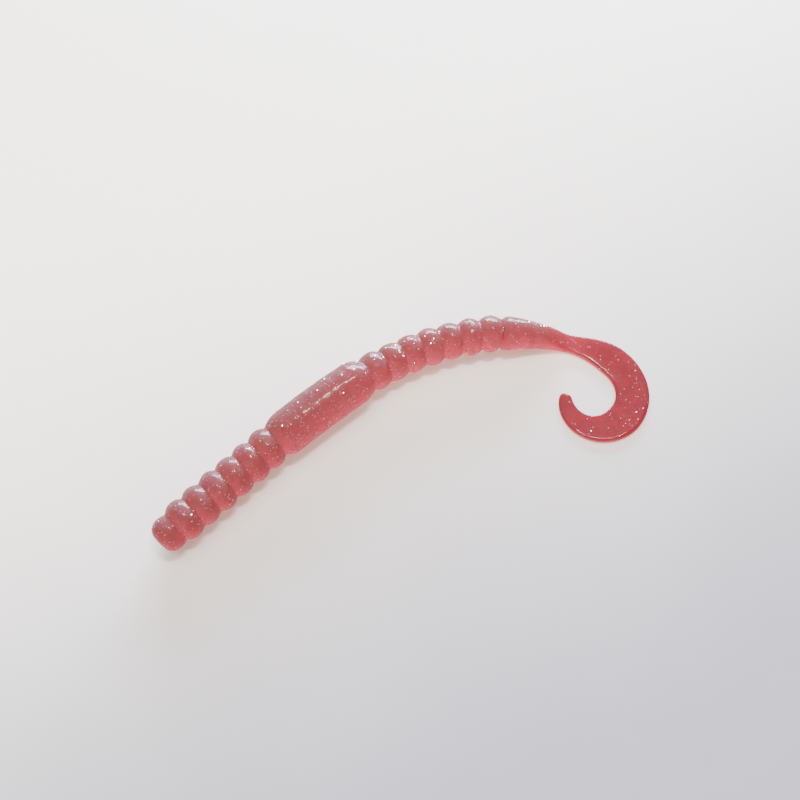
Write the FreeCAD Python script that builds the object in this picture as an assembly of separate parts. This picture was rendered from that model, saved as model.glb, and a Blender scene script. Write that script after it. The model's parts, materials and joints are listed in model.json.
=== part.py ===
"""A ribbed soft plastic fishing worm with a smooth collar and a curled blade tail.

The worm is one soft moulding with glitter flakes cast into it. It bends at its grooves, so it is
built as segments divided there: a nose, six front rings, the collar, seven rear rings, the tail
root and eight pieces of tail blade. Each segment ends in a ball or a round edge that turns in a
hollow of the next one. The flakes in each segment are a node of their own.

Units are millimetres and degrees. The worm lies on its side on the plane z = 0, with its head
towards -X and its tail towards +X. The origin is the middle of the foot of its bounding box.
"""

import FreeCAD, Part

import math
import os

# Body, from the nose to the neck of the tail
FRONT_RINGS = 6
REAR_RINGS = 7
NOSE_LENGTH = 5.0
FRONT_PITCH = 4.98
COLLAR_LENGTH = 27.5
REAR_PITCH = 5.06
ROOT_LENGTH = 16.8

NOSE_RADIUS = 4.25
GATE_RADIUS = 1.6
NOSE_CREST_AT = 0.55
FRONT_CREST = 5.0
FIRST_GROOVE = 3.85
FRONT_GROOVE = 4.1
COLLAR_RADIUS = 5.4
COLLAR_SHOULDER = 4.2
REAR_CREST_FIRST = 4.72
REAR_CREST_LAST = 4.5
REAR_GROOVE_FIRST = 4.0
REAR_GROOVE_LAST = 3.5
ROOT_CREST = 4.25
ROOT_SHOULDER = 2.4
NECK_HALF_WIDTH = 2.4
NECK_EDGE_SHARE = 0.86

# Tail root: share of its length, half width and half height of the ellipses that shape it
ROOT_SECTIONS = ((0.4, 3.62, 3.62), (0.68, 2.88, 2.77), (0.88, 2.47, 1.56))
ROOT_CORE = 0.4

# Direction in plan: the heading at the nose, then how far each stretch turns
START_HEADING = 44.5
FRONT_TURN = -1.5
COLLAR_TURN = -8.0
REAR_TURN = -30.0
ROOT_TURN = -17.0

# Tail blade: a flat sickle that lies on the plane z = 0
BLADE_PIECES = 8
BLADE_LENGTH = 50.4
BLADE_HALF_WIDTH = 4.1
BLADE_SWELL = 13.0
BLADE_TAPER_FROM = 30.0
BLADE_TAPER_POWER = 1.3
TIP_HALF_WIDTH = 1.3
TIP_CUT = 0.02
BLADE_THICK_NECK = 1.6
BLADE_THICK_TIP = 1.0
CURL = 6.0
CURL_FROM = -9.5
CURL_FULL = 27.0
END_CURL = 1.5
END_CURL_FROM = 29.0
END_CURL_FULL = 38.0
LINE_STEP = 0.25

# Joints: running clearance and how far one groove can bend
BALL_CLEARANCE = 0.1
BODY_BEND = 12.0
BLADE_OPEN = 24.0
BLADE_CLOSE = 3.0
FLAP_BEND = 40.0
FLAP_PIECE = 5
LIP_MARGIN = 4.0
LIP_REACH = 9.0
LIFT_REACH = 4.0
LIFT_EDGE_INSET = 0.3
NECK_OVERLAP = 0.5

# Glitter flakes: hexagons across their corners, and how many each kind of segment holds
FLAKE_WIDTH = 0.66
FLAKE_THICKNESS = 0.08
FLAKE_COVER = 0.18
FLAKE_APART = 1.6 * FLAKE_WIDTH
FLAKE_TRIES = 60
BODY_FLAKE_TILT = 70.0
BLADE_FLAKE_TILT = 12.0
RING_FLAKES = 9
COLLAR_FLAKES = 44
ROOT_FLAKES = 18
BLADE_FLAKES = 8

Z = FreeCAD.Vector(0, 0, 1)


def vector(x, y, z=0.0):
    return FreeCAD.Vector(x, y, z)


def direction(heading):
    """Unit vector in plan for a heading in degrees, counted from +X towards +Y."""
    return vector(math.cos(math.radians(heading)), math.sin(math.radians(heading)))


def smooth(t):
    """Rises from 0 to 1 with level ends."""
    t = max(0.0, min(1.0, t))
    return t * t * (3.0 - 2.0 * t)


def mix(a, b, t):
    return a + (b - a) * t


# ---------------------------------------------------------------- the worm's line

def body_segments():
    """Name, length, turn, start groove, crest and end groove of each segment to the neck."""
    rows = [("nose_segment", NOSE_LENGTH, 0.0, GATE_RADIUS, NOSE_RADIUS, FIRST_GROOVE)]
    turn = FRONT_TURN / FRONT_RINGS
    start = FIRST_GROOVE
    for k in range(FRONT_RINGS):
        rows.append((f"front_ring_{k + 1}", FRONT_PITCH, turn, start, FRONT_CREST, FRONT_GROOVE))
        start = FRONT_GROOVE
    rows.append(("collar", COLLAR_LENGTH, COLLAR_TURN, start, COLLAR_RADIUS, REAR_GROOVE_FIRST))
    start = REAR_GROOVE_FIRST
    for k in range(REAR_RINGS):
        crest = mix(REAR_CREST_FIRST, REAR_CREST_LAST, k / (REAR_RINGS - 1))
        end = mix(REAR_GROOVE_FIRST, REAR_GROOVE_LAST, (k + 1) / REAR_RINGS)
        turn = REAR_TURN / REAR_RINGS
        rows.append((f"rear_ring_{k + 1}", REAR_PITCH, turn, start, crest, end))
        start = end
    rows.append(("tail_root", ROOT_LENGTH, ROOT_TURN, start, ROOT_CREST, NECK_HALF_WIDTH))
    return rows


def body_stations(rows):
    """The point on the worm's line at each groove, and the heading there.

    A groove's height is the larger crest beside it, so each lump rests on the plane z = 0.
    """
    heading = START_HEADING
    x, y = 0.0, 0.0
    points = [vector(x, y, NOSE_RADIUS)]
    headings = [heading]
    for k, row in enumerate(rows):
        length, turn = row[1], row[2]
        heading += turn
        step = direction(heading - turn / 2)
        x += length * step.x
        y += length * step.y
        following = rows[k + 1][4] if k + 1 < len(rows) else blade_thickness(0.0) / 2
        height = following if k + 1 == len(rows) else max(row[4], following)
        points.append(vector(x, y, height))
        headings.append(heading)
    return points, headings


def blade_heading(u):
    """Heading, less the neck's, at a length u along the blade: the curl's rates added up."""
    steps = 200
    total = 0.0
    for k in range(steps):
        v = u * (k + 0.5) / steps
        rate = CURL * smooth((v - CURL_FROM) / (CURL_FULL - CURL_FROM))
        rate += END_CURL * smooth((v - END_CURL_FROM) / (END_CURL_FULL - END_CURL_FROM))
        total -= rate * u / steps
    return total


def blade_point(u, neck, neck_heading):
    """Point on the blade's middle line in plan, a length u from the neck."""
    steps = max(1, round(u / LINE_STEP))
    x, y = neck.x, neck.y
    for k in range(steps):
        step = direction(neck_heading + blade_heading(u * (k + 0.5) / steps))
        x += step.x * u / steps
        y += step.y * u / steps
    return vector(x, y)


def blade_half_width(u):
    """Half the blade's width: it swells behind the neck, narrows along the curl and ends round."""
    half = mix(NECK_HALF_WIDTH, BLADE_HALF_WIDTH, smooth(u / BLADE_SWELL))
    taper = max(0.0, (u - BLADE_TAPER_FROM) / (BLADE_LENGTH - BLADE_TAPER_FROM))
    half = mix(half, TIP_HALF_WIDTH, taper ** BLADE_TAPER_POWER)
    into_tip = max(0.0, 1.0 - (BLADE_LENGTH - u) / TIP_HALF_WIDTH)
    return half * math.sqrt(max(0.0, 1.0 - into_tip ** 2))


def blade_thickness(u):
    return mix(BLADE_THICK_NECK, BLADE_THICK_TIP, u / BLADE_LENGTH)


# ---------------------------------------------------------------- round segments

def bulge(length, groove_a, crest, groove_b):
    """Centre and radius of the arc through both grooves and the crest, as (x, r, radius)."""
    ax, ar = 0.0, groove_a
    bx, br = length / 2, crest
    cx, cr = length, groove_b
    d = 2 * (ax * (br - cr) + bx * (cr - ar) + cx * (ar - br))
    a2, b2, c2 = ax * ax + ar * ar, bx * bx + br * br, cx * cx + cr * cr
    x = (a2 * (br - cr) + b2 * (cr - ar) + c2 * (ar - br)) / d
    r = (a2 * (cx - bx) + b2 * (ax - cx) + c2 * (bx - ax)) / d
    return x, r, math.hypot(ax - x, ar - r)


def lip_point(angle, circle):
    """Where a ray from the groove's centre, leaning back by angle from upright, meets an arc."""
    x, r, radius = circle
    rx, rr = math.sin(math.radians(angle)), math.cos(math.radians(angle))
    along = x * rx + r * rr
    reach = along + math.sqrt(along * along - (x * x + r * r - radius * radius))
    return reach * rx, reach * rr


def arc_point(circle, x):
    """Point of the arc at x."""
    return x, circle[1] + math.sqrt(circle[2] ** 2 - (x - circle[0]) ** 2)


def revolve(edges):
    """Solid of revolution about the local X axis of a closed chain of edges in the X-Y plane."""
    face = Part.Face(Part.Wire(edges))
    solid = face.revolve(vector(0, 0), vector(1, 0), 360)
    return solid if solid.isValid() and solid.Volume > 0 else solid.reversed()


def line(a, b):
    return Part.LineSegment(vector(*a), vector(*b)).toShape()


def arc(a, b, c):
    return Part.Arc(vector(*a), vector(*b), vector(*c)).toShape()


def socket_edges(groove, lip_angle, circle):
    """Edges of the hollow at a segment's start: from the axis over the lip to the outside."""
    radius = groove + BALL_CLEARANCE
    lean = math.radians(lip_angle)
    lip = (radius * math.sin(lean), radius * math.cos(lean))
    half = math.radians(45 + lip_angle / 2)
    middle = (radius * math.sin(half), radius * math.cos(half))
    outside = lip_point(lip_angle, circle)
    return [arc((radius, 0), middle, lip), line(lip, outside)], outside


def ball_edges(length, groove, socket):
    """Edges of the ball at a segment's end, and the axis back to the hollow at its start."""
    diagonal = groove * math.sqrt(0.5)
    ball = arc((length, groove), (length + diagonal, diagonal), (length + groove, 0))
    return [ball, line((length + groove, 0), (socket, 0))]


def ring(length, groove_a, crest, groove_b, lip_angle):
    """One ring: a bulged band with a hollow at its start and a ball at its end."""
    circle = bulge(length, groove_a, crest, groove_b)
    edges, outside = socket_edges(groove_a, lip_angle, circle)
    top = arc_point(circle, (outside[0] + length) / 2)
    edges.append(arc(outside, top, (length, groove_b)))
    edges += ball_edges(length, groove_b, groove_a + BALL_CLEARANCE)
    return revolve(edges)


def shoulder(length, groove, crest):
    """Arc that rises from a groove and ends level with the crest, as (x, r, radius)."""
    rise = crest - groove
    radius = (length * length + rise * rise) / (2 * rise)
    return length, crest - radius, radius


def collar(length, groove_a, crest, groove_b, lip_angle):
    """The long smooth band: a straight barrel between two sloping shoulders."""
    circle = shoulder(COLLAR_SHOULDER, groove_a, crest)
    edges, outside = socket_edges(groove_a, lip_angle, circle)
    start = (COLLAR_SHOULDER, crest)
    end = (length - COLLAR_SHOULDER, crest)
    edges.append(arc(outside, arc_point(circle, (outside[0] + start[0]) / 2), start))
    edges.append(line(start, end))
    back = shoulder(COLLAR_SHOULDER, groove_b, crest)
    middle = arc_point(back, COLLAR_SHOULDER / 2)
    edges.append(arc(end, (length - middle[0], middle[1]), (length, groove_b)))
    edges += ball_edges(length, groove_b, groove_a + BALL_CLEARANCE)
    return revolve(edges)


def nose(length, gate, crest, groove):
    """The blunt nose: a small flat where the moulding's gate was cut, a round front, a ball."""
    crest_at = length * NOSE_CREST_AT
    front = (crest_at - crest_at * math.sqrt(0.5), gate + (crest - gate) * math.sqrt(0.5))
    circle = shoulder(length - crest_at, groove, crest)
    middle = arc_point(circle, circle[0] / 2)
    edges = [
        line((0, 0), (0, gate)),
        arc((0, gate), front, (crest_at, crest)),
        arc((crest_at, crest), (length - middle[0], middle[1]), (length, groove)),
    ]
    edges += ball_edges(length, groove, 0)
    return revolve(edges)


def ellipse_wire(x, half_width, half_height, foot=0.0):
    """Upright ellipse across the local X axis, no taller than wide, standing at height foot."""
    centre = vector(x, 0, foot + half_height)
    curve = Part.Ellipse(centre + vector(0, half_width), centre + Z * half_height, centre)
    return Part.Wire([curve.toShape()])


def root_start(groove, crest, lip_angle):
    """The round start of the tail root, from the lip to its shoulder, with a core for the cone."""
    circle = shoulder(ROOT_SHOULDER, groove, crest)
    outside = lip_point(lip_angle, circle)
    level = (ROOT_SHOULDER, crest)
    core = crest - ROOT_CORE
    core_end = ROOT_SHOULDER + ROOT_CORE
    return revolve([
        line((0, 0), outside),
        arc(outside, arc_point(circle, (outside[0] + level[0]) / 2), level),
        line(level, (ROOT_SHOULDER, core)),
        line((ROOT_SHOULDER, core), (core_end, core)),
        line((core_end, core), (core_end, 0)),
        line((core_end, 0), (0, 0)),
    ])


def tail_root(length, groove, crest, height, lip_angle):
    """The smooth cone behind the last ring, which flattens into a wedge at the neck.

    It is built with its line along local X, which starts at the given height and sinks until the
    cone lies on the plane z = 0. It ends in a round edge as thick as the blade, which lifts on it.
    """
    start = root_start(groove, crest, lip_angle)
    start.translate(Z * height)
    half_edge = BLADE_THICK_NECK / 2
    edge_half_width = NECK_EDGE_SHARE * NECK_HALF_WIDTH
    sections = [ellipse_wire(ROOT_SHOULDER, crest, crest, height - crest)]
    for share, half_width, half_height in ROOT_SECTIONS:
        sections.append(ellipse_wire(length * share, half_width, half_height))
    sections.append(ellipse_wire(length, NECK_HALF_WIDTH, half_edge))
    cone = Part.makeLoft(sections, True, False)
    foot = vector(length, -edge_half_width, half_edge)
    edge = Part.makeCylinder(half_edge, 2 * edge_half_width, foot, vector(0, 1))
    hollow = Part.makeSphere(groove + BALL_CLEARANCE, Z * height)
    return start.fuse([cone, edge]).cut(hollow)


def lay(shape, start, end):
    """Place a shape built along local X so that it runs from start towards end."""
    along = end - start
    rotation = FreeCAD.Rotation(vector(1, 0), along)
    placed = shape.copy()
    placed.Placement = FreeCAD.Placement(start, rotation).multiply(shape.Placement)
    return placed


# ---------------------------------------------------------------- tail blade

def plan_spline(points):
    curve = Part.BSplineCurve()
    curve.interpolate(points)
    return curve.toShape()


def blade_side(u0, u1, side, neck, neck_heading):
    """Points along one side of the blade, from u0 to u1; side is 1 for the left, -1 for the right."""
    count = 12
    points = []
    for k in range(count):
        u = mix(u0, u1, math.sin(math.pi / 2 * k / (count - 1)))
        across = direction(neck_heading + blade_heading(u) + 90 * side)
        points.append(blade_point(u, neck, neck_heading) + across * blade_half_width(u))
    return points


def lip_wedge(centre, heading, left, right):
    """What lies behind the two lips of the next piece of blade, as a wedge about its hinge."""
    back = centre + direction(heading + 180) * LIP_REACH
    left_edge = centre + direction(heading + 90 - left) * LIP_REACH
    right_edge = centre + direction(heading - 90 + right) * LIP_REACH
    behind_left = back + direction(heading + 90) * LIP_REACH
    behind_right = back + direction(heading - 90) * LIP_REACH
    corners = [centre, left_edge, behind_left, behind_right, right_edge, centre]
    return Part.Face(Part.makePolygon(corners)).extrude(Z * 2 * BLADE_THICK_NECK)


def lift_end(centre, heading, thickness, half_width):
    """Round edge on which the next piece lifts: a rod across the blade at mid-thickness."""
    across = direction(heading - 90)
    foot = centre - across * half_width + Z * (thickness / 2)
    return Part.makeCylinder(thickness / 2, 2 * half_width, foot, across)


def lift_hollow(centre, heading, radius, bend, half_width):
    """Space for that edge, and for the upper lip as the piece lifts by bend."""
    across = direction(heading - 90)
    along = direction(heading)
    foot = centre - across * half_width
    rod = Part.makeCylinder(radius + BALL_CLEARANCE, 2 * half_width, foot, across)
    rise = Z * LIFT_REACH
    back = along * LIFT_REACH
    lean = along * (math.tan(math.radians(bend + LIP_MARGIN)) * LIFT_REACH)
    profile = [foot, foot + rise + lean, foot + rise - back, foot - rise - back, foot - rise, foot]
    wedge = Part.Face(Part.makePolygon(profile)).extrude(across * (2 * half_width))
    return rod.fuse(wedge)


def blade_piece(k, neck, neck_heading, root_heading, joints):
    """Piece k of the blade, from hinge k to hinge k + 1, or to the tip.

    The first piece starts in line with the straight root, so it lifts square to root_heading.
    """
    pitch = BLADE_LENGTH / BLADE_PIECES
    u0, u1 = k * pitch, (k + 1) * pitch
    last = k == BLADE_PIECES - 1
    thickness = blade_thickness((u0 + u1) / 2)
    tip_u = BLADE_LENGTH - TIP_CUT
    from_u = u0 if k else -NECK_OVERLAP
    left = blade_side(from_u, tip_u if last else u1, 1, neck, neck_heading)
    right = blade_side(from_u, tip_u if last else u1, -1, neck, neck_heading)
    start, end = blade_point(u0, neck, neck_heading), blade_point(u1, neck, neck_heading)
    heading0 = neck_heading + blade_heading(u0) if k else root_heading
    heading1 = neck_heading + blade_heading(u1)
    edges = [plan_spline(left), plan_spline(right)]
    edges.append(Part.makeLine(left[0], right[0]))
    edges.append(Part.makeLine(left[-1], right[-1]))
    outline = Part.Wire(Part.__sortEdges__(edges))
    solid = Part.Face(outline).extrude(Z * thickness)
    if not last and joints[k + 1] == "uncurl":
        solid = solid.fuse(Part.makeCylinder(blade_half_width(u1), thickness, end)).removeSplitter()
    if joints[k] == "uncurl":
        hollow = Part.makeCylinder(blade_half_width(u0) + BALL_CLEARANCE, 2 * thickness, start)
        lips = lip_wedge(start, heading0, BLADE_OPEN + LIP_MARGIN, BLADE_CLOSE + LIP_MARGIN)
        solid = solid.cut([hollow, lips])
    if not last and joints[k + 1] == "flap":
        edge = lift_end(end, heading1, thickness, blade_half_width(u1) - LIFT_EDGE_INSET)
        solid = solid.fuse(edge).removeSplitter()
    if joints[k] == "flap":
        edge_radius = (blade_thickness(u0 - pitch / 2) if k else BLADE_THICK_NECK) / 2
        across = 3 * BLADE_HALF_WIDTH
        centre = start + Z * edge_radius
        solid = solid.cut(lift_hollow(centre, heading0, edge_radius, FLAP_BEND, across))
    return max(solid.Solids, key=lambda s: s.Volume)


# ---------------------------------------------------------------- glitter flakes

def spread(k, seed):
    """The k-th of an even scatter of points in the unit cube, started at a different place per seed."""
    steps = (0.8191725, 0.6710436, 0.5497005)
    return [(0.5 + seed * 0.3819 + (k + 1) * step) % 1.0 for step in steps]


def flake(centre, tilt, spin):
    """A hexagonal flake of foil, turned by spin about Z and tilted from level by tilt."""
    radius = FLAKE_WIDTH / 2
    corners = [direction(60 * i) * radius - Z * (FLAKE_THICKNESS / 2) for i in range(7)]
    solid = Part.Face(Part.makePolygon(corners)).extrude(Z * FLAKE_THICKNESS)
    turn = FreeCAD.Rotation(Z, spin).multiply(FreeCAD.Rotation(vector(1, 0), tilt))
    solid.Placement = FreeCAD.Placement(centre, turn)
    return solid


def flakes_in(host, count, seed, tilt):
    """Flakes scattered evenly through a segment, each fully inside it and clear of the others."""
    box = host.BoundBox
    found = []
    centres = []
    reach = FLAKE_WIDTH / 2 + FLAKE_COVER
    level = tilt == BLADE_FLAKE_TILT
    room = FLAKE_THICKNESS / 2 + FLAKE_COVER if level else reach
    for k in range(count * FLAKE_TRIES):
        if len(found) == count:
            break
        a, b, c = spread(k, seed)
        centre = vector(mix(box.XMin, box.XMax, a), mix(box.YMin, box.YMax, b),
                        mix(box.ZMin, box.ZMax, c))
        if not host.isInside(centre, 0.01, False):
            continue
        if any((centre - other).Length < FLAKE_APART for other in centres):
            continue
        probes = [direction(60 * i) * reach for i in range(6)] + [Z * room, Z * -room]
        if not all(host.isInside(centre + p, 0.001, False) for p in probes):
            continue
        if not level and host.Shells[0].distToShape(Part.Vertex(centre))[0] < reach:
            continue
        centres.append(centre)
        found.append(flake(centre, tilt * (2 * c - 1), 360 * a))
    return Part.makeCompound(found)


def flake_count(name):
    """How many flakes a segment holds."""
    if name == "collar":
        return COLLAR_FLAKES
    if name == "tail_root":
        return ROOT_FLAKES
    return BLADE_FLAKES if name.startswith("tail_blade") else RING_FLAKES


# ---------------------------------------------------------------- the whole worm

def joint_kinds():
    """Which hinge starts each piece of blade: the neck and one groove lift, the others uncurl."""
    return ["flap" if k in (0, FLAP_PIECE - 1) else "uncurl" for k in range(BLADE_PIECES)]


def build():
    """All nodes in the row frame, and the hinge points with their headings."""
    rows = body_segments()
    points, headings = body_stations(rows)
    nodes = {}
    lip = BODY_BEND + LIP_MARGIN
    for k, (name, length, _, groove_a, crest, groove_b) in enumerate(rows):
        extra = abs(headings[k] - headings[k - 1]) if k else 0.0
        start, end = points[k], points[k + 1]
        chord = (end - start).Length
        if name == "nose_segment":
            shape = lay(nose(chord, groove_a, crest, groove_b), start, end)
        elif name == "collar":
            shape = lay(collar(chord, groove_a, crest, groove_b, lip + extra), start, end)
        elif name == "tail_root":
            root = tail_root(length, groove_a, crest, start.z, lip + extra)
            shape = lay(root, vector(start.x, start.y), vector(end.x, end.y))
        else:
            shape = lay(ring(chord, groove_a, crest, groove_b, lip + extra), start, end)
        nodes[name] = shape
    neck, neck_heading = points[-1], headings[-1]
    root_heading = neck_heading - ROOT_TURN / 2
    headings[-1] = root_heading
    joints = joint_kinds()
    pitch = BLADE_LENGTH / BLADE_PIECES
    for k in range(BLADE_PIECES):
        nodes[f"tail_blade_{k + 1}"] = blade_piece(k, neck, neck_heading, root_heading, joints)
        if k:
            u = k * pitch
            at = blade_point(u, neck, neck_heading)
            at.z = blade_thickness(u - pitch / 2) / 2
            points.append(at)
            headings.append(neck_heading + blade_heading(u))
    return rows, nodes, points, headings


def shift_to_foot(nodes):
    """Vector that moves the middle of the foot of the bounding box to the origin."""
    boxes = [shape.optimalBoundingBox(False, False) for shape in nodes.values()]
    x = (min(b.XMin for b in boxes) + max(b.XMax for b in boxes)) / 2
    y = (min(b.YMin for b in boxes) + max(b.YMax for b in boxes)) / 2
    return vector(-x, -y, -min(b.ZMin for b in boxes))


def main():
    os.makedirs("parts", exist_ok=True)
    rows, nodes, points, headings = build()
    shift = shift_to_foot(nodes)
    for seed, name in enumerate(list(nodes)):
        nodes[name].translate(shift)
        tilt = BLADE_FLAKE_TILT if name.startswith("tail_blade") else BODY_FLAKE_TILT
        nodes[f"{name}_flakes"] = flakes_in(nodes[name], flake_count(name), seed, tilt)
    for name, shape in nodes.items():
        shape.exportStep(f"parts/{name}.step")
        print(f"{name:24s} valid {shape.isValid()}  solids {len(shape.Solids)}  {shape.Volume:9.2f} mm3")
    return rows, nodes, [p + shift for p in points], headings


ROWS, NODES, POINTS, HEADINGS = main()
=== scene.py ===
"""Looks of the ribbed soft plastic worm: one translucent glittery moulding on a pale table.

The frame holds the worm's segments and the hinges between them. The moulding is rebuilt here as one
smooth surface along the worm's line, cut at the middle of each segment, where nothing bends. So each
piece of skin spans exactly one hinge, and meets its neighbours at the seams.

A length s runs along the worm's line from the nose, and u along the blade from the neck. Lengths are
millimetres, except those of the table, the lights and the camera. Meshes are stored in metres.
"""

import json
import math

import bpy
import numpy as np
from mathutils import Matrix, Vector

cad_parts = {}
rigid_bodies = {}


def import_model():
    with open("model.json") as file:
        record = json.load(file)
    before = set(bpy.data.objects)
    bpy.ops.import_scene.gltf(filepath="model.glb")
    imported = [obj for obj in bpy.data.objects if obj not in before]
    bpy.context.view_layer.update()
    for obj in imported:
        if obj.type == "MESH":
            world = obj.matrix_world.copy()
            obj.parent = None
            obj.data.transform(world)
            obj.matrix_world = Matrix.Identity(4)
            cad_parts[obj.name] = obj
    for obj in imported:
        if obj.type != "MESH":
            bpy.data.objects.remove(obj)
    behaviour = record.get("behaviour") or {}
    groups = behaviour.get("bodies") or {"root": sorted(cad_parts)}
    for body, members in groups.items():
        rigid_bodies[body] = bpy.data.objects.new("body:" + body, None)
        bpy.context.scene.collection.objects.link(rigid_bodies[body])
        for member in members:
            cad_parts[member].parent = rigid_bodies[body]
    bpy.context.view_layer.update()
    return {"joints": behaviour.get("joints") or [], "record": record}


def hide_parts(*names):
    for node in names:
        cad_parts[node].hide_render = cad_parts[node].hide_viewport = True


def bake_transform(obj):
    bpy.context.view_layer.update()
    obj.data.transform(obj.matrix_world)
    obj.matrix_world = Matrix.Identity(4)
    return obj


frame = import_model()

MM = 0.001
TINY = 1e-6

# The moulding, in the same proportions as the frame
FRONT_RINGS = 6
REAR_RINGS = 7
BLADE_PIECES = 8
NOSE_RADIUS = 4.25
NOSE_CREST_AT = 0.55     # where the nose is widest, as a share of its length
GATE_RADIUS = 1.6        # the small flat at the front of the nose
FRONT_CREST = 5.0
FRONT_GROOVE = 4.1
FIRST_GROOVE = 3.85
COLLAR_RADIUS = 5.4
COLLAR_SHOULDER = 4.4    # length of the rounding at each end of the collar
REAR_CREST = (4.72, 4.5)     # on the first and the last rear ring
REAR_GROOVE = (4.0, 3.5)     # before the first rear ring and before the tail root
ROOT_CREST = 4.25
ROOT_SHOULDER = 2.4
ROOT_TURN = -17.0        # degrees that the line turns along the tail root
NECK_HALF_WIDTH = 2.4
BLADE_LENGTH = 50.4
BLADE_HALF_WIDTH = 4.1
BLADE_SWELL = 13.0       # the blade widens from the neck to here
BLADE_TAPER_FROM = 30.0
BLADE_TAPER_POWER = 1.3
BLADE_THICK = (1.6, 1.0)     # at the neck and at the tip
TIP_HALF_WIDTH = 1.3

# Curl of the blade, in degrees for each millimetre: it grows between two lengths u, then more at the end
CURL = 6.0
CURL_GROWS = (-9.5, 27.0)
END_CURL = 1.5
END_CURL_GROWS = (29.0, 38.0)

# Tail root and neck: share of the root's length against half width, and against half height
ROOT_WIDTHS = ((0.143, 4.25), (0.4, 3.62), (0.68, 2.9), (0.88, 2.5), (1.0, 2.4), (1.15, 2.4))
ROOT_HEIGHTS = ((0.143, 4.25), (0.4, 3.62), (0.62, 2.92), (0.8, 2.05), (0.97, 1.0), (1.1, 0.79),
                (1.3, 0.77))

# The sections turn from round to square-edged between two lengths from the start of the tail root
FLATTENS = (8.0, 24.0)
BLADE_SQUARE = 4.6       # power of the superellipse across the blade
RIB_RISE = 0.07          # how much thicker the band along the outer edge of the blade is
RIB_AT = 0.78            # where the band is, as a share of the half width
RIB_WIDTH = 0.2
RIB_GROWTH = 9.0         # the band reaches its full height this far from the neck
INNER_THIN = 0.04        # how much thinner the inner edge is
INNER_FROM = 0.1         # share of the half width from which it gets thinner

# Small features of the cast surface
GROOVE_EASE = 0.22       # radius at the bottom of a groove
RING_UNEVEN = 0.05       # how much one ring's crest differs from another's
RING_WAVE = 2.4          # the unevenness is a sine wave with this step from ring to ring
RING_WAVE_START = 1.0
PARTING_RISE = 0.05      # height of the parting line
PARTING_WIDTH = 0.06     # its width, as a share of the half height
WOBBLE = 0.035
WOBBLE_WAVES = (         # each wave's rate along x, y and z, and its start
    (0.9, 0.35, 0.5, 0.0),
    (-0.4, 1.1, 0.7, 2.1),
    (0.55, -0.75, 1.3, 4.0),
    (1.7, 1.2, -0.9, 1.3),
)
BLADE_CALM = 0.35        # the flat blade wobbles this much of what the body does
SETTLE = 0.1             # how far the soft body sinks where it touches the table
CONTACT_EASE = 0.15      # rounding beside the flat that this makes
# Gate scar on the nose: radius as a share of the flat's, and how far it stands ahead of the flat
GATE_ROWS = ((0.02, -0.05), (0.2, -0.03), (0.26, 0.06), (0.6, 0.1), (0.9, 0.04))

# Fineness of the lines and of the skin
LINE_SAMPLES = 80        # points on the worm's line from one hinge to the next
BLADE_SAMPLES = 800
DIRECTION_SPAN = 0.6     # the line's direction is taken this far each way
OUTLINE_SAMPLES = 80     # points on a quarter of a section before they are spaced evenly
AROUND = 96              # points round one section of the skin
STEP = 0.22              # spacing of the sections along the line
NOSE_ROWS = 16
TIP_ROWS = 12

# Glitter: hexagons of foil at and under the surface
FLAKE_SEED = 100
FLAKE_RADIUS = (0.08, 0.18)
FLAKE_THICKNESS = 0.03
FLAKE_TILT = 0.24
FLAKE_PROUD = 0.015      # the shallowest flakes stand this far out of the skin
FLAKE_DEEPEST = 0.4
FLAKE_DEEPEST_BLADE = 0.25
FLAKE_AT_SKIN = -0.4     # depths are drawn from here to 1, and those below 0 are all at the skin
FLAKE_LOWEST = 0.5       # no flakes lower than this above the table
FLAKE_TIP_ROWS = 6       # nor in the last rows of the tip
FLAKES_BODY = 2.7        # flakes on each square millimetre of skin
FLAKES_BLADE = 1.1
FLAKES_LOW = 0.35        # share of the glitter low down, against that at this height and above
FLAKES_TOP = 8.0
FLAKE_CLOUDS = (0.6, 0.4)    # mean and swing of the glitter's unevenness
FLAKE_CLOUD_WAVE = (0.9, 1.3)
ACROSS_FLAKES = (0.3, 0.5, 0.81)     # a direction that no flake faces

# Where the plastic's colour changes, and where a painted glow stands for light coming through the
# thinning neck
THIN_FROM = 9.0          # the moulding counts as thinner from here along the tail root
THIN_TO = 19.0           # and as thin as the blade from here
WEDGE_AT = 0.5           # the painted glow is palest here past the neck, where the root flattens into the blade
WEDGE_REACH = 4.5

# Colours of the plastic, linear: cloudy body and brighter, redder blade
BODY_DULL = (0.13, 0.105, 0.108, 1)
BODY_BRIGHT = (0.165, 0.082, 0.09, 1)
BODY_DEEP = (0.135, 0.05, 0.06, 1)
BLADE_DULL = (0.205, 0.037, 0.055, 1)
BLADE_BRIGHT = (0.285, 0.038, 0.058, 1)
# Painted glow: a paler colour for light coming through the plastic where the root thins into the blade
NECK_PAINTED_GLOW = (0.46, 0.065, 0.105, 1)
CLOUD_SCALE = 0.32
MOTTLE_SCALE = 1.7
MOTTLE_SHARE = 0.35
# Light scattered through the plastic, and what is seen through it
GLOW_BODY = (0.66, 0.075, 0.12, 1)
GLOW_BLADE = (0.56, 0.08, 0.11, 1)
GLOW_SHARE = 0.55
SEEN_BODY = (0.36, 0.135, 0.15, 1)
SEEN_BLADE = (0.44, 0.12, 0.145, 1)
SEE_BODY = 0.25
SEE_BLADE = 0.3
RIM_CLEAR = 0.35         # how much clearer the plastic is where it is seen edge on
RIM_POWER = 3.5
# Colour of the direct light that passes through, which tints the shadow
PASSED_BODY = (0.36, 0.31, 0.26, 1)
PASSED_BLADE = (0.66, 0.51, 0.44, 1)
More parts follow.
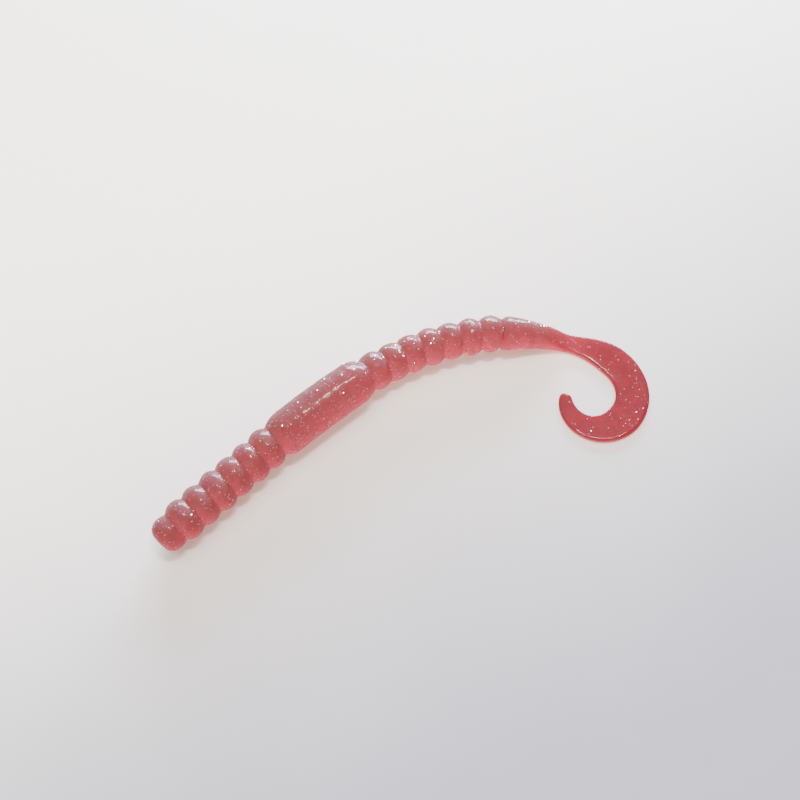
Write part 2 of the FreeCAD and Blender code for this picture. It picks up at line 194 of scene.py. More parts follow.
# Gloss and fine relief
PLASTIC_IOR = 1.42
GLOSS_SCALE = 2.6
GLOSS_ROUGHNESS = (0.16, 0.36)
RIPPLE_SCALE = 0.9
FINE_SCALE = 5.5
FINE_SHARE = 0.28
RELIEF_BODY = 0.5
RELIEF_BLADE = 0.18
RELIEF_DEPTH = 0.0002    # in metres, as is the next
WET_DEPTH = 0.00007      # the relief is softer in the gloss than in the plastic
# Dust of the glitter, too fine to be modelled
DUST_SCALE = 1.9
DUST_SIZE = 0.2
DUST_SHARE = 0.12
DUST_STRENGTH = 0.8
DUST_METAL = 0.6
DUST_SILVER = (0.85, 0.72, 0.76, 1)
DUST_PINK = (0.8, 0.3, 0.4, 1)

# The foil: its colours, and the shares of flakes from which the second and the third begin
FOIL_SILVER = (0.66, 0.38, 0.40, 1)
FOIL_PINK = (0.62, 0.24, 0.28, 1)
FOIL_COPPER = (0.62, 0.28, 0.22, 1)
FOIL_DARK = (0.30, 0.12, 0.14, 1)
FOIL_PINK_FROM = 0.6
FOIL_COPPER_FROM = 0.85
FOIL_ROUGHNESS = (0.11, 0.28)
FOIL_GRAIN_SCALE = 9000.0
FOIL_GRAIN_DEPTH = 0.00002
FOIL_GRAIN_DARK = 0.25

# Table, in metres: its colour slants across it from a painted pool of light to painted shade
TABLE_SIZE = 5.0
TABLE_PAINTED_LIGHT = (0.99, 0.975, 0.90, 1)
TABLE_PAINTED_SHADE = (0.26, 0.27, 0.33, 1)
TABLE_SLANT_X = 0.45
TABLE_SLANT_Y = -0.9
TABLE_SLANT_FROM = -0.09
TABLE_SLANT_TO = 0.10
TABLE_CLOUD_SCALE = 9.0
TABLE_CLOUD = 0.015
TABLE_ROUGHNESS = (0.42, 0.5)
TABLE_GRAIN_SCALE = 60.0
TABLE_GRAIN_DEPTH = 0.0006

ROOM_COLOUR = (1.0, 0.93, 0.81, 1)
ROOM_STRENGTH = 1.05

# Camera: it looks along +Y and down, at a point on the table that is this far from the nose in x and y
CAMERA_ELEVATION = 66.0
CAMERA_DISTANCE = 0.26
FROM_NOSE = (0.0546, 0.0373)
SENSOR_WIDTH = 36.0
FOCAL_WIDTHS = 1.3265    # focal length in sensor widths


def mix(a, b, t):
    return a + (b - a) * t


def ramp(x, start, end):
    """0 up to the start, 1 from the end on, with a smooth rise between them."""
    t = np.clip((x - start) / (end - start), 0.0, 1.0)
    return t * t * (3.0 - 2.0 * t)


def hermite(t, a, b, slope_a, slope_b):
    """Cubic from a at t = 0 to b at t = 1, with these slopes at its ends."""
    return ((2 * t ** 3 - 3 * t ** 2 + 1) * a + (t ** 3 - 2 * t ** 2 + t) * slope_a
            + (3 * t ** 2 - 2 * t ** 3) * b + (t ** 3 - t ** 2) * slope_b)


def through(x, knots):
    """Smooth curve through knots (x, y) in order of x."""
    xs, ys = np.array(knots).T
    i = min(max(int(np.searchsorted(xs, x)) - 1, 0), len(xs) - 2)
    step = xs[i + 1] - xs[i]
    slopes = np.gradient(ys, xs) * step
    return hermite((x - xs[i]) / step, ys[i], ys[i + 1], slopes[i], slopes[i + 1])


def sampled(s, lengths, points):
    """Point at length s of a line given as points at these lengths."""
    return np.array([np.interp(s, lengths, column) for column in points.T])


# ---------------------------------------------------------------- the worm's line

CHAIN = (["nose_segment"]
         + [f"front_ring_{k + 1}" for k in range(FRONT_RINGS)]
         + ["collar"]
         + [f"rear_ring_{k + 1}" for k in range(REAR_RINGS)]
         + ["tail_root"]
         + [f"tail_blade_{k + 1}" for k in range(BLADE_PIECES)])
COLLAR = CHAIN.index("collar")
ROOT = CHAIN.index("tail_root")
LAST = len(CHAIN) - 1


def hinge_points():
    """The hinge before each segment of the chain, in millimetres; the first is the nose's face."""
    found = {}
    for joint in frame["joints"]:
        found[frozenset((joint["parent"], joint["child"]))] = np.array(joint["pos_m"]) / MM
    nose = next(m for m in frame["record"]["mounts"] if m["name"] == "nose_face")
    points = [np.array(nose["pos_m"]) / MM]
    points += [found[frozenset(pair)] for pair in zip(CHAIN[:-1], CHAIN[1:])]
    return points


HINGES = hinge_points()


def body_line():
    """Smooth line through the hinges from the nose to the neck: lengths, points and last heading."""
    knots = np.array(HINGES[:ROOT + 2])
    ahead = np.diff(knots, axis=0)
    chord = np.linalg.norm(ahead, axis=1)
    tangents = np.zeros_like(knots)
    tangents[1:-1] = ahead[:-1] / chord[:-1, None] + ahead[1:] / chord[1:, None]
    tangents[1:-1] /= np.linalg.norm(tangents[1:-1], axis=1)[:, None]
    tangents[0] = ahead[0] / chord[0]
    heading = math.atan2(ahead[-1][1], ahead[-1][0]) + math.radians(ROOT_TURN / 2)
    tangents[-1] = (math.cos(heading), math.sin(heading), 0.0)
    t = np.linspace(0, 1, LINE_SAMPLES, endpoint=False)[:, None]
    points = []
    for k in range(len(knots) - 1):
        slopes = tangents[k] * chord[k], tangents[k + 1] * chord[k]
        points.append(hermite(t, knots[k], knots[k + 1], *slopes))
    points = np.concatenate(points + [knots[-1:]])
    lengths = np.concatenate([[0], np.cumsum(np.linalg.norm(np.diff(points, axis=0), axis=1))])
    return lengths, points, heading


BODY_S, BODY_P, NECK_HEADING = body_line()
NECK_S = BODY_S[-1]
TIP_S = NECK_S + BLADE_LENGTH
HINGE_S = list(BODY_S[::LINE_SAMPLES])
HINGE_S += [NECK_S + BLADE_LENGTH / BLADE_PIECES * k for k in range(1, BLADE_PIECES)]


def blade_line():
    """The blade's middle line on the table: lengths u, points and headings in radians."""
    u = np.linspace(0, BLADE_LENGTH, BLADE_SAMPLES + 1)
    middle = (u[1:] + u[:-1]) / 2
    rate = CURL * ramp(middle, *CURL_GROWS) + END_CURL * ramp(middle, *END_CURL_GROWS)
    step = BLADE_LENGTH / BLADE_SAMPLES
    heading = NECK_HEADING - np.radians(np.concatenate([[0], np.cumsum(rate * step)]))
    mean = (heading[1:] + heading[:-1]) / 2
    x = HINGES[ROOT + 1][0] + np.concatenate([[0], np.cumsum(np.cos(mean) * step)])
    y = HINGES[ROOT + 1][1] + np.concatenate([[0], np.cumsum(np.sin(mean) * step)])
    return u, np.stack([x, y, np.zeros_like(x)], 1), heading


BLADE_U, BLADE_P, BLADE_H = blade_line()


def line_at(s):
    """Point on the line, its direction in space and the level direction to its left, at length s."""
    if s <= NECK_S:
        point = sampled(s, BODY_S, BODY_P)
        a = sampled(max(0.0, s - DIRECTION_SPAN), BODY_S, BODY_P)
        b = sampled(min(NECK_S, s + DIRECTION_SPAN), BODY_S, BODY_P)
        along = (b - a) / np.linalg.norm(b - a)
        heading = math.atan2(along[1], along[0])
    else:
        point = sampled(s - NECK_S, BLADE_U, BLADE_P)
        heading = float(np.interp(s - NECK_S, BLADE_U, BLADE_H))
        along = np.array([math.cos(heading), math.sin(heading), 0.0])
    left = np.array([-math.sin(heading), math.cos(heading), 0.0])
    return point, along, left


# ---------------------------------------------------------------- the shape across the line

def softened(d, half):
    """Distance from a groove, eased so that the groove is round at its bottom; 0 to half."""
    ease = math.hypot(half, GROOVE_EASE) - GROOVE_EASE
    return min(half, (math.hypot(d, GROOVE_EASE) - GROOVE_EASE) * half / ease)


def lump(d, half, groove, crest):
    """Radius at distance d from a groove, on the arc that reaches the crest at distance half."""
    if d >= half:
        return crest
    rise = crest - groove
    radius = (half * half + rise * rise) / (2 * rise)
    back = half - softened(d, half)
    return crest - radius + math.sqrt(radius * radius - back * back)


def groove_radius(i):
    """Radius of the groove at hinge i."""
    if i == 1:
        return FIRST_GROOVE
    if i <= COLLAR:
        return FRONT_GROOVE
    return mix(REAR_GROOVE[0], REAR_GROOVE[1], (i - COLLAR - 1) / REAR_RINGS)


def crest_radius(i):
    """Largest radius of ring i, with the small unevenness of a soft moulding."""
    uneven = RING_UNEVEN * math.sin(RING_WAVE * i + RING_WAVE_START)
    if i < COLLAR:
        return FRONT_CREST + uneven
    return mix(REAR_CREST[0], REAR_CREST[1], (i - COLLAR - 1) / (REAR_RINGS - 1)) + uneven


def body_radius(s):
    """Radius of the round sections, from behind the nose's crest to the shoulder of the tail root."""
    i = int(np.searchsorted(HINGE_S, s, side="right")) - 1
    start, end = HINGE_S[i], HINGE_S[i + 1]
    if i == 0:
        return lump(end - s, (end - start) * (1 - NOSE_CREST_AT), FIRST_GROOVE, NOSE_RADIUS)
    if i == ROOT:
        return lump(s - start, ROOT_SHOULDER, groove_radius(i), ROOT_CREST)
    groove = groove_radius(i) if s < (start + end) / 2 else groove_radius(i + 1)
    if i == COLLAR:
        return lump(min(s - start, end - s), COLLAR_SHOULDER, groove, COLLAR_RADIUS)
    return lump(min(s - start, end - s), (end - start) / 2, groove, crest_radius(i))


def blade_half_width(u):
    half = mix(NECK_HALF_WIDTH, BLADE_HALF_WIDTH, float(ramp(u, 0.0, BLADE_SWELL)))
    taper = max(0.0, (u - BLADE_TAPER_FROM) / (BLADE_LENGTH - BLADE_TAPER_FROM))
    return mix(half, TIP_HALF_WIDTH, taper ** BLADE_TAPER_POWER)


def tip_round(u):
    """1 along the blade, falling to 0 round its tip."""
    into = max(0.0, 1.0 - (BLADE_LENGTH - u) / TIP_HALF_WIDTH)
    return math.sqrt(max(0.0, 1.0 - into * into))


def half_sizes(s):
    """Half width and half height of the section at length s."""
    if s - HINGE_S[ROOT] < ROOT_SHOULDER:
        radius = body_radius(s)
        return radius, radius
    share = (s - HINGE_S[ROOT]) / (NECK_S - HINGE_S[ROOT])
    if s <= NECK_S:
        return through(share, ROOT_WIDTHS), through(share, ROOT_HEIGHTS)
    u = s - NECK_S
    high = mix(BLADE_THICK[0], BLADE_THICK[1], u / BLADE_LENGTH) / 2
    if share < ROOT_HEIGHTS[-1][0]:
        high = through(share, ROOT_HEIGHTS)
    return blade_half_width(u) * tip_round(u), high * math.sqrt(tip_round(u))


def outline(half_width, half_height, power):
    """Points round a superellipse, evenly spaced in each quarter, as across and up."""
    t = np.linspace(0.0, math.pi / 2, OUTLINE_SAMPLES)
    x = half_width * np.cos(t) ** (2 / power)
    y = half_height * np.sin(t) ** (2 / power)
    lengths = np.concatenate([[0], np.cumsum(np.hypot(np.diff(x), np.diff(y)))])
    there = np.linspace(0, lengths[-1], AROUND // 4, endpoint=False)
    back = lengths[-1] - there
    x_there, y_there = np.interp(there, lengths, x), np.interp(there, lengths, y)
    x_back, y_back = np.interp(back, lengths, x), np.interp(back, lengths, y)
    across = np.concatenate([x_there, -x_back, -x_there, x_back])
    up = np.concatenate([y_there, y_back, -y_there, -y_back])
    return across, up


def section(s, radius=None, ahead=0.0):
    """Points round the moulding at length s: its own section, or a round one with this radius.

    A section of the body can be moved ahead along the line. From the tail root on, they stand on the
    table.
    """
    point, along, left = line_at(s)
    half_width, half_height = half_sizes(s) if radius is None else (radius, radius)
    into_root = s - HINGE_S[ROOT]
    power = mix(2.0, BLADE_SQUARE, float(ramp(into_root, *FLATTENS)))
    across, up = outline(half_width, half_height, power)
    if into_root <= 0:
        upward = np.cross(along, left)
        centre = point + along * ahead
    else:
        upward = np.array([0.0, 0.0, 1.0])
        centre = np.array([point[0], point[1], half_height])
    if s > NECK_S:
        side = across / max(half_width, TINY)
        rib = RIB_RISE * np.exp(-((side - RIB_AT) / RIB_WIDTH) ** 2)
        thin = INNER_THIN * ramp(-side, INNER_FROM, 1.0)
        edge = float(ramp(s - NECK_S, 0.0, RIB_GROWTH)) * tip_round(s - NECK_S)
        up = (up + half_height) * (1 + edge * (rib - thin)) - half_height
    else:
        parting = np.exp(-(up / (PARTING_WIDTH * max(half_height, TINY))) ** 2)
        across = across * (1 + PARTING_RISE / max(half_width, 1.0) * parting)
    return centre + across[:, None] * left + up[:, None] * upward


def row_lengths():
    """Lengths s of the sections behind the nose's crest, with each hinge and each middle on a row."""
    stops = [HINGE_S[1] * NOSE_CREST_AT]
    for start, end in zip(HINGE_S[1:], HINGE_S[2:] + [TIP_S]):
        stops += [start, (start + end) / 2]
    stops.append(TIP_S - TIP_HALF_WIDTH)
    rows = [stops[0]]
    for a, b in zip(stops[:-1], stops[1:]):
        count = max(1, math.ceil((b - a) / STEP))
        rows += [mix(a, b, (k + 1) / count) for k in range(count)]
    for k in range(1, TIP_ROWS + 1):
        rows.append(TIP_S - TIP_HALF_WIDTH * (1 - math.sin(math.pi / 2 * k / (TIP_ROWS + 0.5))))
    return rows


def wobble(points):
    """Slow unevenness of the cast surface, in millimetres, from waves in several directions."""
    total = 0.0
    for a, b, c, start in WOBBLE_WAVES:
        total = total + np.sin(points[..., 0] * a + points[..., 1] * b + points[..., 2] * c + start)
    return WOBBLE * total / 2


def thinness(lengths):
    """0 along the body, rising to 1 where the tail root gets thin, and 1 along the blade."""
    return ramp(lengths - HINGE_S[ROOT], THIN_FROM, THIN_TO)


def grid_normals(grid):
    """Outward normals of the grid of points: rows along the worm, columns round it."""
    along = np.gradient(grid, axis=0)
    around = np.roll(grid, -1, axis=1) - np.roll(grid, 1, axis=1)
    normals = np.cross(around, along)
    return normals / np.maximum(np.linalg.norm(normals, axis=2, keepdims=True), 1e-9)


def build_grid():
    """All sections: their lengths s and points, from the gate on the nose to the tip."""
    lengths = [0.0] * len(GATE_ROWS)
    points = [section(0.0, share * GATE_RADIUS, ahead) for share, ahead in GATE_ROWS]
    for k in range(NOSE_ROWS):
        angle = math.pi / 2 * k / NOSE_ROWS
        s = HINGE_S[1] * NOSE_CREST_AT * (1 - math.cos(angle))
        lengths.append(s)
        points.append(section(s, mix(GATE_RADIUS, NOSE_RADIUS, math.sin(angle))))
    for s in row_lengths():
        lengths.append(s)
        points.append(section(s))
    lengths = np.array(lengths)
    grid = np.array(points)
    calm = mix(1.0, BLADE_CALM, thinness(lengths))
    grid += grid_normals(grid) * (wobble(grid) * calm[:, None])[..., None]
    # The soft body settles a little on the table, so what touches it is flat.
    low = grid[..., 2] - SETTLE
    grid[..., 2] = (low + np.sqrt(low * low + CONTACT_EASE ** 2)) / 2
    return lengths, grid


ROW_S, GRID = build_grid()
NORMALS = grid_normals(GRID)


# ---------------------------------------------------------------- pieces of skin and of glitter

def seam_row(i):
    """Row of the grid at the middle of segment i, where two pieces meet."""
    return int(np.argmin(np.abs(ROW_S - (HINGE_S[i] + HINGE_S[i + 1]) / 2)))


def bend(obj, i):
    """Bake the piece's placing into its mesh; the level direction of the line at hinge i is worked out
    but not used.
    """
    _, along, _ = line_at(HINGE_S[i])
    level = np.array([along[0], along[1], 0.0])
    level /= np.linalg.norm(level)
    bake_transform(obj)


def store(mesh, name, values):
    """Vector attribute on the points of a mesh."""
    attribute = mesh.attributes.new(name, "FLOAT_VECTOR", "POINT")
    attribute.data.foreach_set("vector", np.asarray(values, dtype=np.float32).ravel())


def store_rows(mesh, name, values):
    """One number for each row of a piece of skin, in all three parts of a vector attribute."""
    store(mesh, name, np.repeat(values, 3 * AROUND))


def new_object(name, vertices, faces, material):
    mesh = bpy.data.meshes.new(name)
    mesh.from_pydata([tuple(v) for v in vertices], [], faces)
    mesh.materials.append(material)
    obj = bpy.data.objects.new(name, mesh)
    bpy.context.scene.collection.objects.link(obj)
    return obj


def skin_faces(count, i):
    """Faces between the rows of piece i, with a cap on the nose and one on the tip."""
    faces = []
    for k in range(count - 1):
        for j in range(AROUND):
            a, b = k * AROUND + j, k * AROUND + (j + 1) % AROUND
            faces.append((a, b, b + AROUND, a + AROUND))
    if i == 1:
        faces.append(tuple(range(AROUND))[::-1])
    if i == LAST:
        faces.append(tuple((count - 1) * AROUND + j for j in range(AROUND)))
    return faces


def skin_piece(i, material):
    """The skin from the middle of segment i - 1 to the middle of segment i."""
    first = seam_row(i - 1) if i > 1 else 0
    last = seam_row(i) if i < LAST else len(ROW_S) - 1
    rows = slice(first, last + 1)
    vertices = GRID[rows].reshape(-1, 3)
    obj = new_object(f"skin_{CHAIN[i]}", vertices * MM, skin_faces(last + 1 - first, i), material)
    mesh = obj.data
    mesh.shade_smooth()
    mesh.normals_split_custom_set_from_vertices([tuple(n) for n in NORMALS[rows].reshape(-1, 3)])
    store(mesh, "rest", vertices)
    store_rows(mesh, "thinness", thinness(ROW_S[rows]))
    # Weight of the painted glow for light coming through the thinning neck
    store_rows(mesh, "painted_neck_glow", np.exp(-((ROW_S[rows] - NECK_S - WEDGE_AT) / WEDGE_REACH) ** 2))
    nodes = [CHAIN[i]] + ([CHAIN[0]] if i == 1 else [])
    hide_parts(*nodes)
    bend(obj, i)


def flake_corners(centre, normal, radius, rng):
    """Twelve corners of a hexagonal flake near a place on the skin, tilted and turned by chance."""
    tilted = normal + rng.normal(0.0, FLAKE_TILT, 3)
    tilted /= np.linalg.norm(tilted)
    side = np.cross(tilted, ACROSS_FLAKES)
    side /= np.linalg.norm(side)
    other = np.cross(tilted, side)
    start = rng.uniform(0, math.pi / 3)
    angles = start + np.arange(6) * math.pi / 3
    rim = np.cos(angles)[:, None] * side + np.sin(angles)[:, None] * other
    thick = tilted * FLAKE_THICKNESS / 2
    return np.concatenate([centre + rim * radius + thick, centre + rim * radius - thick])


def flake_faces(base):
    top = tuple(base + j for j in range(6))
    low = tuple(base + 6 + j for j in reversed(range(6)))
    sides = [(base + 6 + j, base + 6 + (j + 1) % 6, base + (j + 1) % 6, base + j) for j in range(6)]
    return [top, low] + sides


def flake_places(first, last, density, rng):
    """Row and column of each flake's place on the skin, from row first up to row last."""
    wide = np.linalg.norm(np.roll(GRID, -1, axis=1) - GRID, axis=2)[first:last]
    long = np.linalg.norm(np.diff(GRID, axis=0), axis=2)[first:last]
    # Glitter moves unevenly in the mould, so it gathers in clouds. More of it is put higher up, so that
    # more glints show on the top: painted highlight.
    x, y, z = np.moveaxis(GRID[first:last], 2, 0)
    mean, swing = FLAKE_CLOUDS
    cloud = mean + swing * np.sin(x * FLAKE_CLOUD_WAVE[0] + y * FLAKE_CLOUD_WAVE[1])
    chance = (wide * long * cloud * mix(FLAKES_LOW, 1.0, ramp(z, 0.0, FLAKES_TOP))).ravel()
    count = int(density * chance.sum())
    picks = rng.choice(len(chance), size=count, replace=False, p=chance / chance.sum())
    return [(first + pick // AROUND, pick % AROUND) for pick in picks]


def flake_piece(i, material):
    """Glitter cast into the skin between the middles of segments i - 1 and i."""
    rng = np.random.default_rng(FLAKE_SEED + i)
    first = seam_row(i - 1) if i > 1 else len(GATE_ROWS)
    last = seam_row(i) if i < LAST else len(ROW_S) - FLAKE_TIP_ROWS
    thin = ROW_S[first] > HINGE_S[ROOT] + THIN_FROM
    density = FLAKES_BLADE if thin else FLAKES_BODY
    deepest = FLAKE_DEEPEST_BLADE if thin else FLAKE_DEEPEST
    vertices, faces, tints = [], [], []
    for k, j in flake_places(first, last, density, rng):
        if GRID[k, j, 2] < FLAKE_LOWEST:
            continue
        radius = rng.uniform(*FLAKE_RADIUS)
        depth = deepest * max(0.0, rng.uniform(FLAKE_AT_SKIN, 1.0)) - FLAKE_PROUD
        corners = flake_corners(GRID[k, j] - NORMALS[k, j] * depth, NORMALS[k, j], radius, rng)
        faces += flake_faces(len(vertices))
        vertices += list(corners)
        tints += [(rng.uniform(), rng.uniform(), depth)] * len(corners)
    obj = new_object(f"glitter_{CHAIN[i]}", np.array(vertices) * MM, faces, material)
    store(obj.data, "tint", tints)
    nodes = [f"{CHAIN[i]}_flakes"] + ([f"{CHAIN[0]}_flakes"] if i == 1 else [])
    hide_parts(*nodes)
    bend(obj, i)


# ---------------------------------------------------------------- materials

class Nodes:
    """Short way to build a node tree: each call adds a node, sets its inputs and joins links."""

    def __init__(self, material):
        material.use_nodes = True
        self.tree = material.node_tree
        self.tree.nodes.clear()

    def put(self, value, socket):
        """Link a socket's output to this input, or set the input to a plain value."""
        if isinstance(value, bpy.types.NodeSocket):
            self.tree.links.new(value, socket)
        else:
            socket.default_value = value

    def add(self, kind, inputs=None, **settings):
        node = self.tree.nodes.new(kind)
        for name, value in settings.items():
            setattr(node, name, value)
        for name, value in (inputs or {}).items():
            self.put(value, node.inputs[name])
        return node

    def math(self, operation, a, b=0.0, clamp=False):
        return self.add("ShaderNodeMath", {0: a, 1: b}, operation=operation, use_clamp=clamp).outputs[0]

    def blend(self, factor, a, b):
        """Colour between a and b; 0, 6 and 7 are the colour sockets of the mix node."""
        return self.add("ShaderNodeMix", {0: factor, 6: a, 7: b}, data_type="RGBA").outputs[2]

    def join(self, factor, a, b):
        """Shader between a and b."""
        inputs = {0: factor, 1: a.outputs[0], 2: b.outputs[0]}
        return self.add("ShaderNodeMixShader", inputs)

    def noise(self, where, scale, detail=3.0, rough=0.5):
        inputs = {"Vector": where, "Scale": scale, "Detail": detail, "Roughness": rough}
        return self.add("ShaderNodeTexNoise", inputs).outputs["Fac"]

    def levels(self, value, low, high, to_low=0.0, to_high=1.0, how="LINEAR"):
        inputs = {"Value": value, "From Min": low, "From Max": high, "To Min": to_low, "To Max": to_high}
        return self.add("ShaderNodeMapRange", inputs, interpolation_type=how).outputs["Result"]

    def attribute(self, name, output):
        return self.add("ShaderNodeAttribute", attribute_name=name).outputs[output]

    def bump(self, height, strength, depth):
        inputs = {"Height": height, "Strength": strength, "Distance": depth}
        return self.add("ShaderNodeBump", inputs).outputs[0]

    def finish(self, shader):
        self.add("ShaderNodeOutputMaterial", {"Surface": shader.outputs[0]})


def cast_colour(n, rest, thin):
    """Colour of the plastic: clouded and mottled body, redder blade, painted glow of light through the
    neck.
    """
    cloud = n.levels(n.noise(rest, CLOUD_SCALE, 4.0, 0.6), 0.36, 0.64)
    mottle = n.levels(n.noise(rest, MOTTLE_SCALE), 0.35, 0.65)
    body = n.blend(cloud, BODY_DULL, BODY_BRIGHT)
    body = n.blend(n.math("MULTIPLY", mottle, MOTTLE_SHARE), body, BODY_DEEP)
    body = n.blend(thin, body, n.blend(cloud, BLADE_DULL, BLADE_BRIGHT))
    # Painted glow: paler where light comes through the thinning neck
    painted_glow = n.math("MULTIPLY", n.attribute("painted_neck_glow", "Fac"), n.levels(mottle, 0.0, 1.0, 0.5, 0.9))
    return n.blend(painted_glow, body, NECK_PAINTED_GLOW)


def glitter_dust(n, rest):
    """Fine glitter dust: where it is, and its colour."""
    cell = n.add("ShaderNodeTexVoronoi", {"Vector": rest, "Scale": DUST_SCALE})
    parts = n.add("ShaderNodeSeparateColor", {"Color": cell.outputs["Color"]}).outputs
    speck = n.math("LESS_THAN", cell.outputs["Distance"], DUST_SIZE)
    chosen = n.math("LESS_THAN", parts[0], DUST_SHARE)
    dust = n.math("MULTIPLY", n.math("MULTIPLY", speck, chosen), DUST_STRENGTH)
    return dust, n.blend(parts[1], DUST_SILVER, DUST_PINK)


def plastisol():
    """Cloudy red-pink soft plastic with an oily gloss, fine glitter dust and light passing through."""
    material = bpy.data.materials.new("plastisol_red")
    n = Nodes(material)
    rest = n.attribute("rest", "Vector")
    thin = n.attribute("thinness", "Fac")
    dust, dust_colour = glitter_dust(n, rest)
    fine = n.math("MULTIPLY", n.noise(rest, FINE_SCALE), FINE_SHARE)
    relief = n.math("ADD", n.noise(rest, RIPPLE_SCALE, 2.0), fine)
    strength = n.levels(thin, 0.0, 1.0, RELIEF_BODY, RELIEF_BLADE)
    shell = n.add("ShaderNodeBsdfPrincipled", {
        "Base Color": n.blend(dust, cast_colour(n, rest, thin), dust_colour),
        "Roughness": n.levels(n.noise(rest, GLOSS_SCALE, 4.0), 0.3, 0.7, *GLOSS_ROUGHNESS),
        "Metallic": n.math("MULTIPLY", dust, DUST_METAL),
        "IOR": 1.33,
        "Specular IOR Level": 0.25,
        "Normal": n.bump(relief, strength, RELIEF_DEPTH),
        "Coat Weight": 0.75,
        "Coat Roughness": 0.05,
        "Coat IOR": PLASTIC_IOR,
        "Coat Normal": n.bump(relief, strength, WET_DEPTH)})
    glow = n.add("ShaderNodeBsdfTranslucent", {"Color": n.blend(thin, GLOW_BODY, GLOW_BLADE)})
    lit = n.join(n.math("MULTIPLY", n.math("SUBTRACT", 1.0, dust), GLOW_SHARE), shell, glow)
    clear = n.add("ShaderNodeBsdfRefraction", {
        "Color": n.blend(thin, SEEN_BODY, SEEN_BLADE), "Roughness": 0.04, "IOR": PLASTIC_IOR})
    facing = n.add("ShaderNodeLayerWeight", {"Blend": 0.5}).outputs["Facing"]
    rim = n.math("MULTIPLY", n.math("POWER", facing, RIM_POWER), RIM_CLEAR)
    see = n.math("ADD", n.levels(thin, 0.0, 1.0, SEE_BODY, SEE_BLADE), rim, clamp=True)
    seen = n.join(see, lit, clear)
    passed = n.add("ShaderNodeBsdfTransparent", {"Color": n.blend(thin, PASSED_BODY, PASSED_BLADE)})
    ray = n.add("ShaderNodeLightPath").outputs["Is Shadow Ray"]
    n.finish(n.join(ray, seen, passed))
    return material


def glitter():
    """Foil flakes with a rolled grain: most of them silvery pink, some pink and a few copper."""
    material = bpy.data.materials.new("glitter_foil")
    n = Nodes(material)
    parts = n.add("ShaderNodeSeparateXYZ", {"Vector": n.attribute("tint", "Vector")}).outputs
    tints = n.add("ShaderNodeValToRGB", {"Fac": parts[0]})
    steps = tints.color_ramp
    steps.interpolation = "CONSTANT"
    steps.elements[0].color = FOIL_SILVER
    steps.elements[1].position = FOIL_PINK_FROM
    steps.elements[1].color = FOIL_PINK
    steps.elements.new(FOIL_COPPER_FROM).color = FOIL_COPPER
    place = n.add("ShaderNodeTexCoord").outputs["Object"]
    grain = n.noise(place, FOIL_GRAIN_SCALE, 2.0)
    dark = n.levels(grain, 0.3, 0.7, 0.0, FOIL_GRAIN_DARK)
    n.finish(n.add("ShaderNodeBsdfPrincipled", {
        "Base Color": n.blend(dark, tints.outputs["Color"], FOIL_DARK),
        "Roughness": n.levels(parts[1], 0.0, 1.0, *FOIL_ROUGHNESS),
        "Metallic": 1.0,
        "Normal": n.bump(grain, 0.3, FOIL_GRAIN_DEPTH)}))
    return material


def table_top():
    """Pale, slightly glossy table top with a faint unevenness, and painted light and shade slanting
    across it.
    """
    material = bpy.data.materials.new("pale_table")
    n = Nodes(material)
    place = n.add("ShaderNodeTexCoord").outputs["Object"]
    parts = n.add("ShaderNodeSeparateXYZ", {"Vector": place}).outputs
    cloud = n.levels(n.noise(place, TABLE_CLOUD_SCALE), 0.3, 0.7)
    slant = n.math("ADD", n.math("MULTIPLY", parts[0], TABLE_SLANT_X),
                   n.math("MULTIPLY", parts[1], TABLE_SLANT_Y))
    slant = n.math("ADD", slant, n.math("MULTIPLY", cloud, TABLE_CLOUD))
    # Painted light and shade: the colour slants from lit to shaded across the table
    shade = n.levels(slant, TABLE_SLANT_FROM, TABLE_SLANT_TO, how="SMOOTHSTEP")
    n.finish(n.add("ShaderNodeBsdfPrincipled", {
        "Base Color": n.blend(shade, TABLE_PAINTED_LIGHT, TABLE_PAINTED_SHADE),
        "Roughness": n.levels(cloud, 0.0, 1.0, *TABLE_ROUGHNESS),
        "Normal": n.bump(n.noise(place, TABLE_GRAIN_SCALE), 0.2, TABLE_GRAIN_DEPTH)}))
    return material


# ---------------------------------------------------------------- table, lights and camera

TARGET = Vector((HINGES[0][0] * MM + FROM_NOSE[0], HINGES[0][1] * MM + FROM_NOSE[1], 0.0))


def table():
    half = TABLE_SIZE / 2
    corners = [(-half, -half, 0), (half, -half, 0), (half, half, 0), (-half, half, 0)]
    new_object("table_top", corners, [(0, 1, 2, 3)], table_top())


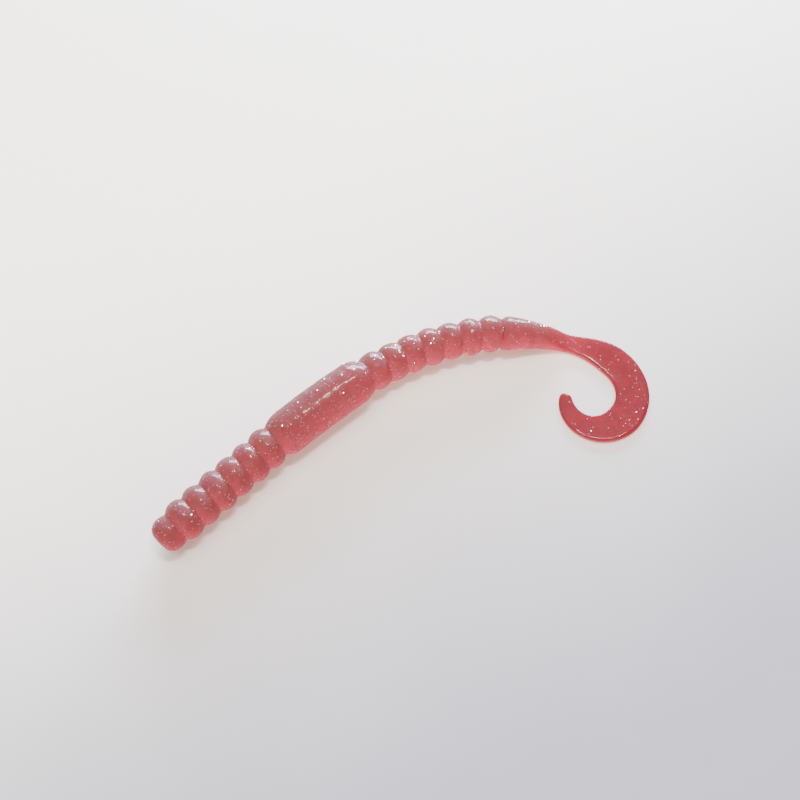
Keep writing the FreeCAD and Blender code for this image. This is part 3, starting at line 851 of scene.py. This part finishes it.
def aim(obj):
    """Point an object's -Z axis at the target, with its Y axis as near upright as it can be."""
    direction = TARGET - obj.location
    obj.rotation_euler = direction.to_track_quat("-Z", "Y").to_euler()


def area_light(name, towards, distance, size, energy, colour, turned=0.0, shines=True):
    """A rectangular lamp in the direction towards, turned about its own axis by these degrees.

    One that shines is seen in the gloss of the plastic; the others only light it.
    """
    data = bpy.data.lights.new(name, "AREA")
    data.shape = "RECTANGLE"
    data.size, data.size_y = size
    data.energy = energy
    data.color = colour
    obj = bpy.data.objects.new(name, data)
    bpy.context.scene.collection.objects.link(obj)
    obj.location = TARGET + Vector(towards).normalized() * distance
    aim(obj)
    obj.rotation_euler.rotate_axis("Z", math.radians(turned))
    obj.visible_camera = False
    obj.visible_glossy = shines


def world_light():
    world = bpy.data.worlds.new("room")
    world.use_nodes = True
    background = world.node_tree.nodes["Background"]
    background.inputs["Color"].default_value = ROOM_COLOUR
    background.inputs["Strength"].default_value = ROOM_STRENGTH
    bpy.context.scene.world = world


def camera():
    data = bpy.data.cameras.new("camera")
    data.sensor_width = SENSOR_WIDTH
    data.lens = SENSOR_WIDTH * FOCAL_WIDTHS
    data.clip_start = 0.01
    obj = bpy.data.objects.new("camera", data)
    bpy.context.scene.collection.objects.link(obj)
    tilt = math.radians(CAMERA_ELEVATION)
    obj.location = TARGET + Vector((0.0, -math.cos(tilt), math.sin(tilt))) * CAMERA_DISTANCE
    aim(obj)
    bpy.context.scene.camera = obj


SKIN = plastisol()
FOIL = glitter()
for segment in range(1, len(CHAIN)):
    skin_piece(segment, SKIN)
    flake_piece(segment, FOIL)

table()
world_light()
area_light("window", towards=(0.09, 0.96, 0.22), distance=1.2, size=(1.05, 0.36), energy=125.0,
           colour=(0.74, 0.80, 1.0))
area_light("lamp", towards=(0.159, 0.21, 0.965), distance=1.5, size=(0.42, 0.07), energy=24.0,
           colour=(1.0, 0.80, 0.70), turned=38.7)
area_light("ceiling", towards=(-0.25, 0.2, 0.95), distance=1.4, size=(1.1, 0.9), energy=20.0,
           colour=(1.0, 0.97, 0.91), shines=False)
camera()
